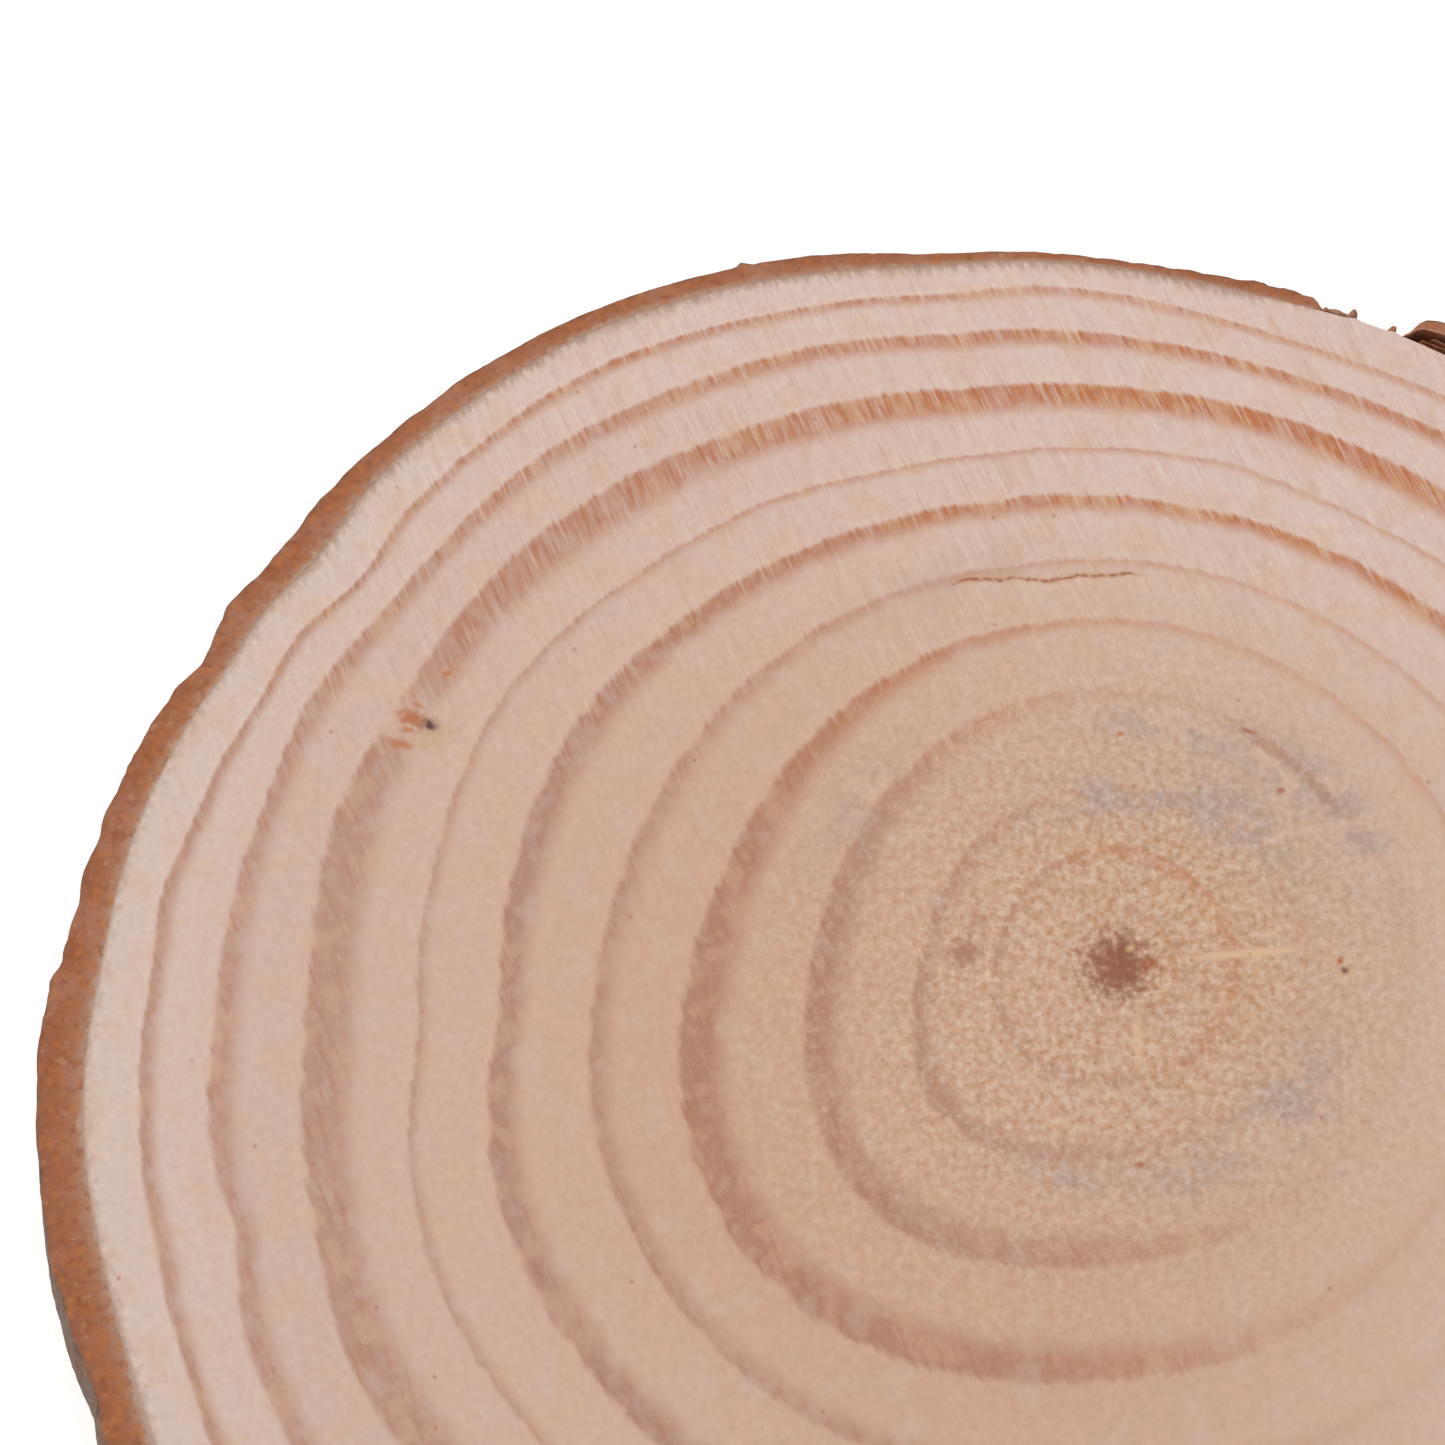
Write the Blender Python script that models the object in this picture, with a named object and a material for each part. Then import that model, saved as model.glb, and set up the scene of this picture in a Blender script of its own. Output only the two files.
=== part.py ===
# A slice sawn across a young pine stem, with its bark on, lying flat on its lower cut.
#
# Metres, +Z up. The lower cut is the plane z = 0 and the origin is the middle of the
# slice's bounding box at that height. Angles are in degrees, counter-clockwise from +X
# round the pith, which lies well off the middle because the stem grew faster on one side.

import bpy
import numpy as np

MM = 0.001

# The stem: outside of the bark, seen from above
THICKNESS = 9.0 * MM
MEAN_RADIUS = 52.1 * MM
SWELLINGS = (  # crests round the stem, height of a crest, angle of the first crest
    (1, 8.80 * MM, 236.5),
    (2, 0.92 * MM, 3.0),
    (3, 0.46 * MM, 46.0),
    (4, 0.65 * MM, 30.0),
)
DENTS = (  # a hollow and a swell of the stem: height, angle of the middle, half width
    (-0.42 * MM, 102.5, 5.5),
    (0.25 * MM, 128.0, 12.0),
)
LEAN = 1.2 * MM  # the stem wasn't square to the saw, so the lower cut lies this far aside
LEAN_ANGLE = 205.0

# The bark: thick on the fast side, thin on the slow side
BARK_THICKNESS = 1.30 * MM
THICK_SIDE = (0.90 * MM, 205.0, 38.0)  # extra thickness, angle of its middle, half width
THIN_SIDE = (-0.80 * MM, 88.0, 28.0)
BARK_LUMPS = (  # worn and swollen spots of the bark alone: height, angle, half width
    (-0.35 * MM, 152.0, 3.5),
    (-0.60 * MM, 160.5, 3.5),
    (0.50 * MM, 184.0, 5.0),
    (-0.30 * MM, 203.0, 8.0),
)
BARK_SEAT = 0.30 * MM  # gap between the bark and the wood

# The ridges that run up the bark
RIDGE_PITCH = 4.2 * MM
RIDGE_DEPTH = 0.55 * MM
UNEVEN_PITCH = ((0.55, 3.0, 1.0), (0.35, 8.0, 2.0))  # share of a pitch, waves round the stem, start
UNEVEN_DEPTH = (0.35, 5.0, 0.5)
RIDGE_SLANT = 0.25  # sideways run of a ridge for each unit of height
RIM_ROUND = 0.45 * MM  # the outer corners are worn round by this much

# The break: bark is missing between these two angles, and sprung off the wood after it
BREAK_FROM, BREAK_TO = 64.9, 71.5
BREAK_TAPER = 5.0  # degrees in which a torn end thins out
TORN_EDGE = 0.35  # share of the bark's thickness that is left at a torn end
SPRUNG_GAP = (0.70 * MM, 59.5, 5.5)
NUBS = (  # scraps of inner bark still on the bare wood: height, angle, half width
    (0.50 * MM, 68.9, 0.45),
    (0.32 * MM, 66.2, 0.35),
)

# The annual rings: mean radius, how far the ring follows the stem's outline (0 to 1),
# and how far it bulges towards the fast side
PITH_RADIUS = 1.7 * MM
PITH_FLOOR = 0.6  # share of the pith's radius that is its sunken floor
PITH_DEPTH = 0.15 * MM
RINGS = (
    (6.7 * MM, 0.00, 0.8 * MM),
    (10.5 * MM, 0.00, 2.6 * MM),
    (16.3 * MM, 0.05, 3.2 * MM),
    (21.6 * MM, 0.40, 3.2 * MM),
    (26.6 * MM, 0.65, 1.5 * MM),
    (31.6 * MM, 0.72, 1.5 * MM),
    (35.3 * MM, 0.80, 1.2 * MM),
    (40.6 * MM, 0.88, 0.6 * MM),
    (44.9 * MM, 0.95, 0.3 * MM),
    (48.1 * MM, 1.00, 0.0 * MM),
)
BULGE_ANGLE, BULGE_WIDTH = 222.0, 34.0
RING_RELIEF = 0.20 * MM  # hard latewood stands this far above the soft earlywood after it
RING_DROP = 0.35 * MM  # width of the step down on a ring's outer side

# How finely the surfaces are divided
WOOD_STEP = 2.4
BREAK_STEP = 0.35
BARK_STEP = 1.0
BARK_LEVELS = (0.0, 0.12, 0.5, 0.88, 1.0)  # heights of the points up the bark's outside


def bell(angle, middle, half_width):
    """1 at the middle angle, falling off smoothly on both sides of it."""
    away = (angle - middle + 180.0) % 360.0 - 180.0
    return np.exp(-((away / half_width) ** 2))


def smooth_step(share):
    share = np.clip(share, 0.0, 1.0)
    return share * share * (3.0 - 2.0 * share)


def sum_of_bells(angle, bells):
    return sum(height * bell(angle, middle, half_width) for height, middle, half_width in bells)


def outline(angle):
    """Radius of the outside of the bark, without its ridges and lumps."""
    radius = MEAN_RADIUS + sum_of_bells(angle, DENTS)
    for crests, height, crest_angle in SWELLINGS:
        radius += height * np.cos(crests * np.radians(angle - crest_angle))
    return radius


def bark_thickness(angle):
    return BARK_THICKNESS + sum_of_bells(angle, (THICK_SIDE, THIN_SIDE))


def wood_radius(angle):
    return outline(angle) - bark_thickness(angle) - BARK_SEAT


def ring_radius(angle, mean_radius, follows, bulge):
    every = np.arange(0.0, 360.0, WOOD_STEP)
    lopsided = wood_radius(angle) / wood_radius(every).mean() - 1.0
    return mean_radius * (1.0 + follows * lopsided) + bulge * bell(angle, BULGE_ANGLE, BULGE_WIDTH)


def ridge_height(angle, level):
    """Rounded ridges with sharp valleys between them, uneven in width and in depth."""
    turn = np.radians(angle)
    along = MEAN_RADIUS * turn / RIDGE_PITCH
    along += RIDGE_SLANT * level * THICKNESS / RIDGE_PITCH
    for share, waves, start in UNEVEN_PITCH:
        along += share * np.sin(waves * turn + start)
    share, waves, start = UNEVEN_DEPTH
    depth = RIDGE_DEPTH * (1.0 - share + share * np.sin(waves * turn + start))
    return -depth * (1.0 - np.abs(np.sin(np.pi * along)))


def ring_of_points(angle, radius, height):
    """Points round the pith, moved aside with the lean of the stem at their height."""
    turn = np.radians(angle)
    aside = LEAN * (1.0 - height / THICKNESS)
    x = radius * np.cos(turn) + aside * np.cos(np.radians(LEAN_ANGLE))
    y = radius * np.sin(turn) + aside * np.sin(np.radians(LEAN_ANGLE))
    return np.stack([x, y, np.full_like(x, height)], axis=1)


def wood_angles():
    """Even steps round the stem, with finer ones where the bare wood shows its nubs."""
    break_angles = np.arange(BREAK_FROM, BREAK_TO, BREAK_STEP)
    even = np.arange(0.0, 360.0, WOOD_STEP)
    even = even[(even < BREAK_FROM - 1.0) | (even > BREAK_TO + 1.0)]
    return np.sort(np.concatenate([even, break_angles]))


def bark_angles():
    """From one torn end round the stem to the other."""
    steps = round((360.0 + BREAK_FROM - BREAK_TO) / BARK_STEP)
    return np.linspace(BREAK_TO, 360.0 + BREAK_FROM, steps + 1)


def wood_shape():
    """A disc: rows of points from the middle of the top, over the edge, to the middle below."""
    angle = wood_angles()
    top = THICKNESS
    rows = [ring_of_points(angle, np.full_like(angle, PITH_RADIUS * PITH_FLOOR), top - PITH_DEPTH)]
    rows.append(ring_of_points(angle, np.full_like(angle, PITH_RADIUS), top))
    for mean_radius, follows, bulge in RINGS:
        crest = ring_radius(angle, mean_radius, follows, bulge)
        rows.append(ring_of_points(angle, crest, top))
        rows.append(ring_of_points(angle, crest + RING_DROP, top - RING_RELIEF))
    edge = wood_radius(angle) + sum_of_bells(angle, NUBS)
    rows.append(ring_of_points(angle, edge, top))
    rows.append(ring_of_points(angle, edge, 0.0))

    count = len(angle)
    middle_top = ring_of_points(np.zeros(1), np.zeros(1), top - PITH_DEPTH)
    middle_below = ring_of_points(np.zeros(1), np.zeros(1), 0.0)
    points = np.concatenate(rows + [middle_top, middle_below])
    top_index, below_index = len(points) - 2, len(points) - 1
    last_row = (len(rows) - 1) * count
    faces = []
    for i in range(count):
        j = (i + 1) % count
        faces.append((top_index, i, j))
        faces.append((below_index, last_row + j, last_row + i))
        for row in range(len(rows) - 1):
            near, far = row * count, (row + 1) * count
            faces.append((near + i, far + i, far + j, near + j))
    return points, faces


def bark_shape():
    """A strip bent round the wood: one closed outline for each angle, and a cap on each torn end."""
    angle = bark_angles()
    from_end = np.minimum(angle - angle[0], angle[-1] - angle)
    torn = smooth_step(from_end / BREAK_TAPER)
    inside = wood_radius(angle) + BARK_SEAT + sum_of_bells(angle, (SPRUNG_GAP,))
    whole = bark_thickness(angle) + sum_of_bells(angle, BARK_LUMPS)
    thickness = whole * (TORN_EDGE + (1.0 - TORN_EDGE) * torn)

    rows = [ring_of_points(angle, inside, THICKNESS), ring_of_points(angle, inside, 0.0)]
    for level in BARK_LEVELS:
        worn = RIM_ROUND * smooth_step(1.0 - min(level, 1.0 - level) / BARK_LEVELS[1])
        skin = torn * ridge_height(angle, level) - worn * thickness / BARK_THICKNESS
        outside = inside + np.maximum(thickness + skin, TORN_EDGE * thickness)
        rows.append(ring_of_points(angle, outside, level * THICKNESS))

    count = len(angle)
    points = np.concatenate(rows)
    around = len(rows)
    faces = [tuple(row * count for row in range(around))]
    faces.append(tuple(row * count + count - 1 for row in reversed(range(around))))
    for row in range(around):
        here, there = row * count, ((row + 1) % around) * count
        for i in range(count - 1):
            faces.append((here + i, here + i + 1, there + i + 1, there + i))
    return points, faces


def material(name, colour, roughness):
    made = bpy.data.materials.new(name)
    made.use_nodes = True
    shader = made.node_tree.nodes["Principled BSDF"]
    shader.inputs["Base Color"].default_value = (*colour, 1.0)
    shader.inputs["Roughness"].default_value = roughness
    shader.inputs["Metallic"].default_value = 0.0
    return made


def sawn_wood():
    return material("sawn pine", (0.64, 0.42, 0.30), 0.75)


def reddish_bark():
    return material("pine bark", (0.33, 0.13, 0.06), 0.9)


def add_piece(name, points, faces, finish):
    mesh = bpy.data.meshes.new(name)
    mesh.from_pydata(points.tolist(), [], faces)
    mesh.validate()
    mesh.shade_smooth()
    mesh.set_sharp_from_angle(angle=np.radians(30.0))
    mesh.materials.append(finish)
    piece = bpy.data.objects.new(name, mesh)
    bpy.context.scene.collection.objects.link(piece)
    return piece


def main():
    for old in list(bpy.data.objects):
        bpy.data.objects.remove(old, do_unlink=True)
    wood_points, wood_faces = wood_shape()
    bark_points, bark_faces = bark_shape()
    every = np.concatenate([wood_points, bark_points])
    middle = (every.min(axis=0) + every.max(axis=0)) / 2.0
    middle[2] = 0.0
    add_piece("wood", wood_points - middle, wood_faces, sawn_wood())
    add_piece("bark", bark_points - middle, bark_faces, reddish_bark())
    print("pith at x %.2f mm, y %.2f mm on the top" % (-middle[0] / MM, -middle[1] / MM))


main()
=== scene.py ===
import math
from functools import partial

import bpy
import numpy as np
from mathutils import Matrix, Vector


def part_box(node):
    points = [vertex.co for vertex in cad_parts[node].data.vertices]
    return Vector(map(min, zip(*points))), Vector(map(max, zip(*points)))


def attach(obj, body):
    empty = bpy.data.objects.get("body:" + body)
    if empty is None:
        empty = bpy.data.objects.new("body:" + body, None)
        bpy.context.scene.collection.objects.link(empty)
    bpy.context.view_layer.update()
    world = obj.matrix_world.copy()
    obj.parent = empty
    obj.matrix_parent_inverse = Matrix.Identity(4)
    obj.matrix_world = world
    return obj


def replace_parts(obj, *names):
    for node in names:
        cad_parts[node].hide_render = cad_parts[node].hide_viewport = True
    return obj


# Looks of the wood slice. Sizes are in millimetres and angles in degrees round the pith,
# counter-clockwise from +X, until a mesh or a node takes them.

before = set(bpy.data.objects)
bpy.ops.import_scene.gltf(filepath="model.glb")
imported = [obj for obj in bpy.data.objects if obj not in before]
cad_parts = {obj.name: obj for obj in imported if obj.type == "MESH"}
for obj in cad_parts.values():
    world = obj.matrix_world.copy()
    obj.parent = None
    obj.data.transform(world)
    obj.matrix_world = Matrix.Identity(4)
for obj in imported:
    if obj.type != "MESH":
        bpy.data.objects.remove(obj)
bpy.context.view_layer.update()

mm = 0.001
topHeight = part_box("wood")[1].z / mm
print("frame loaded, slice is %.1f mm thick" % topHeight)

stem = {
    "pith": (6.12, 7.72),         # where the pith comes up, from the middle of the slice
    "meanRadius": 52.1,           # outside of the bark
    # crests round the stem, height of a crest, angle of the first crest
    "swellings": ((1, 8.80, 236.5), (2, 0.92, 3.0), (3, 0.46, 46.0), (4, 0.65, 30.0)),
    "dents": ((-0.42, 102.5, 5.5), (0.25, 128.0, 12.0)),   # height, angle, half width
    "lean": 1.2,                  # the lower cut lies this far aside of the upper one
    "leanAngle": 205.0,
    "barkThickness": 1.30,
    "barkSides": ((0.90, 205.0, 38.0), (-0.80, 88.0, 28.0)),    # height, angle, half width
    "breakFrom": 64.9,            # bark is missing between these two angles
    "breakTo": 71.5,
    # where the wood itself is fuller or narrower than that: height, angle, half width
    "woodBends": ((0.26, 66.5, 6.0), (-0.10, 122.0, 24.0), (-0.18, 110.0, 5.0), (0.14, 127.0, 4.0),
                  (-0.86, 151.8, 4.8), (-0.54, 160.5, 3.5), (-0.18, 166.0, 3.0), (-0.20, 180.0, 4.5),
                  (-0.76, 201.0, 9.0)),
}


def bell(angle, middle, halfWidth):
    # 1 at the middle angle, falling off smoothly to both sides
    away = (angle - middle + 180.0) % 360.0 - 180.0
    return np.exp(-((away / halfWidth) ** 2))


def sumOfBells(angle, bells):
    return sum((height * bell(angle, middle, halfWidth) for height, middle, halfWidth in bells), 0.0 * angle)


def smoothStep(low, high, value):
    share = np.clip((value - low) / (high - low), 0.0, 1.0)
    return share * share * (3.0 - 2.0 * share)


def stemOutline(angle):
    # mean radius plus one cosine wave for each kind of swelling, plus local dents
    radius = stem["meanRadius"] + sumOfBells(angle, stem["dents"])
    for crests, height, crestAngle in stem["swellings"]:
        radius = radius + height * np.cos(crests * np.radians(angle - crestAngle))
    return radius


def barkDepth(angle):
    return stem["barkThickness"] + sumOfBells(angle, stem["barkSides"])


def evenEdge(angle):
    return stemOutline(angle) - barkDepth(angle)


def woodEdge(angle):
    return evenEdge(angle) + sumOfBells(angle, stem["woodBends"])


def latticeNoise(x, y, seed=0.0):
    # value noise from 0 to 1: a random value on each corner of a unit lattice, blended
    # smoothly inside each cell; the random value is the fraction of a large sine
    x, y = np.broadcast_arrays(x, y)
    cellX, cellY = np.floor(x), np.floor(y)
    shareX, shareY = smoothStep(0.0, 1.0, x - cellX), smoothStep(0.0, 1.0, y - cellY)
    total = np.zeros(x.shape)
    for i in (0, 1):
        for j in (0, 1):
            mixed = np.sin((cellX + i) * 127.1 + (cellY + j) * 311.7 + seed * 53.3)
            weight = (shareX if i else 1.0 - shareX) * (shareY if j else 1.0 - shareY)
            total += (mixed * 43758.5453) % 1.0 * weight
    return total


def placePoints(angle, radius, height):
    # polar place round the pith, moved aside with the lean of the stem below the top
    turn = np.radians(angle)
    aside = stem["lean"] * (1.0 - height / topHeight)
    x = stem["pith"][0] + radius * np.cos(turn) + aside * math.cos(math.radians(stem["leanAngle"]))
    y = stem["pith"][1] + radius * np.sin(turn) + aside * math.sin(math.radians(stem["leanAngle"]))
    return np.stack(np.broadcast_arrays(x, y, height), axis=-1)


def gridQuads(rows, columns, wrapColumns=False, wrapRows=False):
    # corner numbers of the quads between neighbouring rows and columns of a grid
    row = np.arange(rows if wrapRows else rows - 1)[:, None]
    column = np.arange(columns if wrapColumns else columns - 1)[None, :]
    nextRow = (row + 1) % rows
    nextColumn = (column + 1) % columns
    corners = [row * columns + column, nextRow * columns + column,
               nextRow * columns + nextColumn, row * columns + nextColumn]
    return np.stack(np.broadcast_arrays(*corners), axis=-1).reshape(-1, 4)


def gridMap(places):
    # the map's places for the corners of the same quads, from one place for each grid
    # corner, with the wrapped row or column written out as a last one
    corners = [places[:-1, :-1], places[1:, :-1], places[1:, 1:], places[:-1, 1:]]
    return np.stack(corners, axis=2)


def makePiece(name, points, faces, attributes, finish, places=None):
    mesh = bpy.data.meshes.new(name)
    mesh.from_pydata((points.reshape(-1, 3) * mm).tolist(), [], faces)
    if places is not None:
        bakedMap = mesh.uv_layers.new(name="OFBake")
        bakedMap.data.foreach_set("uv", np.ascontiguousarray(places, np.float32).ravel())
    for key, values in attributes.items():
        layer = mesh.attributes.new(key, "FLOAT", "POINT")
        layer.data.foreach_set("value", np.ascontiguousarray(values, np.float32).ravel())
    mesh.shade_smooth()
    mesh.set_sharp_from_angle(angle=math.radians(50.0))
    mesh.materials.append(finish)
    piece = bpy.data.objects.new(name, mesh)
    bpy.context.scene.collection.objects.link(piece)
    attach(piece, "root")
    print("%s: %d points" % (name, len(mesh.vertices)))
    return piece


def hexColour(text):
    # sRGB hex to the linear values that a node takes
    parts = [int(text[i:i + 2], 16) / 255.0 for i in (1, 3, 5)]
    return tuple(c / 12.92 if c <= 0.04045 else ((c + 0.055) / 1.055) ** 2.4 for c in parts) + (1.0,)


def addNode(tree, name, kind, settings=None, links=None):
    # settings are the node's own properties, a ramp's stops or its sockets' values; a link
    # names the node that feeds the socket and, after a dot, which of its outputs
    node = tree.nodes.new("ShaderNode" + kind)
    node.name = name
    for key, value in (settings or {}).items():
        if key == "stops":
            stops = node.color_ramp.elements
            while len(stops) < len(value):
                stops.new(1.0)
            for stop, (position, colour) in zip(stops, value):
                stop.position = position
                stop.color = hexColour(colour)
        elif isinstance(key, str) and hasattr(node, key):
            setattr(node, key, value)
        else:
            node.inputs[key].default_value = value
    for key, source in (links or {}).items():
        origin, _, output = source.partition(".")
        outputs = [each for each in tree.nodes[origin].outputs if each.enabled]
        chosen = [each for each in outputs if each.name == output]
        tree.links.new((chosen or outputs)[0], node.inputs[key])
    return node


def newMaterial(name):
    made = bpy.data.materials.new(name)
    made.use_nodes = True
    made.node_tree.nodes.clear()
    return made


# settings that many nodes share: soft ends for a map range, and colours for a mix
smooth = {"interpolation_type": "SMOOTHSTEP"}
coloured = {"data_type": "RGBA"}


# Wood: raw end grain of a young pine, cut with a coarse saw. Each year is pale, soft
# earlywood that ends in a hard band of latewood. On the slow side, at the top of the
# picture, the saw has torn the bands into fine teeth and left straight scratches; on the
# fast side they are soft and greyish.
years = {
    # outer edge's mean radius, how far it follows the stem's outline, bulge to the fast
    # side, the latewood's share of the year and its depth of colour (slow, fast side),
    # and local bends of the ring: height, angle, half width
    "edges": (
        (3.4, 0.00, 0.2, (0.20, 0.16), (0.34, 0.30), ()),
        (6.8, 0.00, 0.8, (0.26, 0.22), (0.62, 0.75), ((0.25, 95.0, 30.0),)),
        (10.6, 0.00, 2.6, (0.18, 0.30), (0.26, 0.95), ()),
        (16.3, 0.05, 3.2, (0.14, 0.38), (0.34, 1.10), ((0.30, 95.0, 30.0),)),
        (21.6, 0.40, 3.2, (0.17, 0.42), (0.56, 1.15), ((0.45, 80.0, 32.0), (0.70, 192.0, 22.0))),
        (26.6, 0.65, 1.5, (0.15, 0.30), (0.62, 0.75), ((0.60, 72.0, 24.0), (0.30, 196.0, 10.0))),
        (31.6, 0.72, 1.5, (0.30, 0.34), (0.92, 1.10),
         ((0.42, 70.0, 22.0), (-0.25, 117.0, 10.0), (0.95, 155.0, 17.0), (-0.50, 184.0, 5.0),
          (0.40, 202.0, 10.0))),
        (35.3, 0.80, 1.2, (0.17, 0.16), (0.68, 1.05),
         ((0.65, 77.0, 14.0), (-0.35, 113.0, 7.0), (1.40, 156.0, 17.0), (-0.50, 186.0, 5.0),
          (0.55, 203.0, 12.0))),
        (40.6, 0.88, 0.6, (0.46, 0.52), (0.96, 1.05),
         ((0.50, 75.0, 14.0), (1.05, 146.0, 15.0), (0.95, 168.5, 9.0), (0.45, 208.0, 8.0))),
        (44.9, 0.95, 0.3, (0.36, 0.36), (0.80, 0.98),
         ((0.25, 88.0, 34.0), (0.45, 138.0, 8.0), (0.65, 161.0, 6.0), (0.25, 173.0, 7.0),
          (-0.85, 197.5, 3.6))),
        (48.1, 1.00, 0.0, (0.30, 0.28), (0.58, 1.15),
         ((0.65, 92.0, 13.0), (0.38, 130.0, 9.0), (-1.00, 151.5, 3.6), (-0.35, 162.0, 3.0),
          (0.45, 175.5, 3.5), (-0.40, 201.0, 8.0))),
    ),
    "bulge": (222.0, 34.0),
    "fade": (0.72, 312.0, 50.0),  # the bands are faint on this side: share, angle, half width
    "fastSide": 212.0,
    "angles": ((62.0, 74.0, 0.3), (74.0, 422.0, 0.85)),    # the mesh's columns: from, to, step
    "topRows": 13,                # the mesh's rows in each year, on the top and below
    "bottomRows": 3,
    "relief": 0.05,               # latewood stands this far above the earlywood
    "sawWave": (0.03, 1.3, 30.0),     # height, size across and along the saw's direction
    "warp": (0.04, 14.0),         # height and size of the wide unevenness
    "tearing": (0.22, 2.0, 34.0),     # least share; above the pith it grows from here to there
    "corners": (0.01, 0.03),      # the upper and lower face end this far inside the side
    # grooves on the side: depth, degrees for one, how many up the side, seed
    "flutes": ((0.06, 0.7, 2.0, 3.0), (0.10, 2.6, 1.2, 4.0)),
    "crack": {"radius": 23.15, "rise": (0.92, 98.0, 110.5), "dip": (-0.16, 96.0, 4.0),
              "zigzag": ((0.07, 47.0), (0.04, 113.0)), "from": 82.0, "to": 114.0, "ends": 5.0,
              "depth": 0.06, "halfWidth": 0.25, "closing": 0.30},
    # where a branch's trace breaks the latewood: year, share, angle, half width
    "knot": (8, 0.92, 160.0, 2.3),
    # scraps left on the bare edge, and where the dirt on the rim reaches in less or more
    "nubs": ((0.12, 68.9, 0.50), (0.10, 65.6, 0.40)),
    "cleanRim": ((0.9, 66.5, 7.0), (-0.40, 220.0, 15.0)),
    # blue-grey stain round the pith: angle, half angle, radius, half width, strength
    "stains": (
        (88.0, 34.0, 9.8, 1.2, 0.95), (48.0, 22.0, 11.2, 1.7, 0.75), (38.0, 26.0, 15.4, 1.7, 0.80),
        (76.0, 22.0, 14.2, 1.1, 0.65), (-38.0, 18.0, 12.0, 2.2, 0.80), (-72.0, 17.0, 12.2, 1.8, 0.60),
        (254.0, 12.0, 12.2, 1.0, 0.75), (148.0, 16.0, 16.5, 2.4, 0.50), (112.0, 14.0, 24.6, 1.4, 0.35),
    ),
    "mapWidth": 110.0,            # the baked map shows this width of each face
}
sawTurn = 23.1                    # the saw ran this far from the -Y direction


def yearEdges(angle):
    # one row for each year's edge: the mean radius scaled with the stem's lopsidedness
    # there, plus its bends; the pith comes first and the wood's own edge last
    edge = woodEdge(angle)
    lopsided = evenEdge(angle) / evenEdge(np.arange(0.0, 360.0)).mean() - 1.0
    rows = [np.zeros_like(angle)]
    for radius, follows, bulge, _, _, bends in years["edges"]:
        bend = bulge * bell(angle, *years["bulge"]) + sumOfBells(angle, bends)
        rows.append(radius * (1.0 + follows * lopsided) + bend)
    rows.append(edge)
    return np.array(rows)


def woodFace(angle, perYear):
    # radius and year number from the pith out to the edge, as (rows, angles)
    edges = yearEdges(angle)
    year = np.arange(1, len(edges[1:]) * perYear + 1) / perYear
    index = np.floor(year - 1e-6).astype(int)
    share = (year - index)[:, None]
    return edges[index] * (1.0 - share) + edges[index + 1] * share, year, index


def crackPath(angle):
    # nearly a circle, dipping once and then drifting outwards, with small waves on it; it
    # only exists between two angles, and the window says where
    crack = years["crack"]
    away, low, high = crack["rise"]
    path = crack["radius"] + away * smoothStep(low, high, angle) + sumOfBells(angle, (crack["dip"],))
    for height, waves in crack["zigzag"]:
        path = path + height * np.sin(np.radians(angle * waves))
    window = smoothStep(crack["from"], crack["from"] + crack["ends"], angle)
    return path, window * (1.0 - smoothStep(crack["to"] - crack["ends"], crack["to"], angle))


def edgeWithNubs(angle):
    return woodEdge(angle) + sumOfBells(angle, years["nubs"])


def woodValues(angle, points, radius, year, index, side):
    # what the finish reads at each point: the year, and in it the latewood's start and
    # tone, both blended from the slow to the fast side, and the distances to rim and crack
    fast = smoothStep(0.1, 0.95, 0.5 + 0.5 * np.cos(np.radians(angle - years["fastSide"])))
    # the last year, next to the bark, has no latewood yet
    shares = np.array([row[3] for row in years["edges"]] + [(0.0, 0.0)])
    tones = np.array([row[4] for row in years["edges"]] + [(0.0, 0.0)])
    late = shares[index][:, :1] * (1.0 - fast) + shares[index][:, 1:] * fast
    tone = tones[index][:, :1] * (1.0 - fast) + tones[index][:, 1:] * fast
    knotYear, share, middle, halfWidth = years["knot"]
    tone = tone * (1.0 - share * bell(angle, middle, halfWidth) * (index == knotYear)[:, None])
    share, middle, halfWidth = years["fade"]
    tone = tone * (1.0 - share * bell(angle, middle, halfWidth) * (index >= 2)[:, None])
    stain = sum(strength * bell(angle, middle, spread) * np.exp(-(((radius - at) / halfWidth) ** 2))
                for middle, spread, at, halfWidth, strength in years["stains"])
    # the saw tore the grain above the pith, and less towards the pith and below
    least, low, high = years["tearing"]
    torn = least + (1.0 - least) * smoothStep(low, high, points[..., 1] - stem["pith"][1])
    # no bark has dirtied the rim where it is bare, and thick bark has done so most
    rim = edgeWithNubs(angle) - radius + sumOfBells(angle, years["cleanRim"])
    path, window = crackPath(angle % 360.0)
    return {"year": year[:, None] + 0.0 * radius, "lateStart": 1.0 - late, "lateTone": tone,
            "rim": rim, "stain": stain, "torn": torn, "crack": radius - path,
            "crackGap": years["crack"]["closing"] * (1.0 - window) + 0.0 * radius,
            "fast": fast + 0.0 * radius, "side": side + 0.0 * radius}


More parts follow.
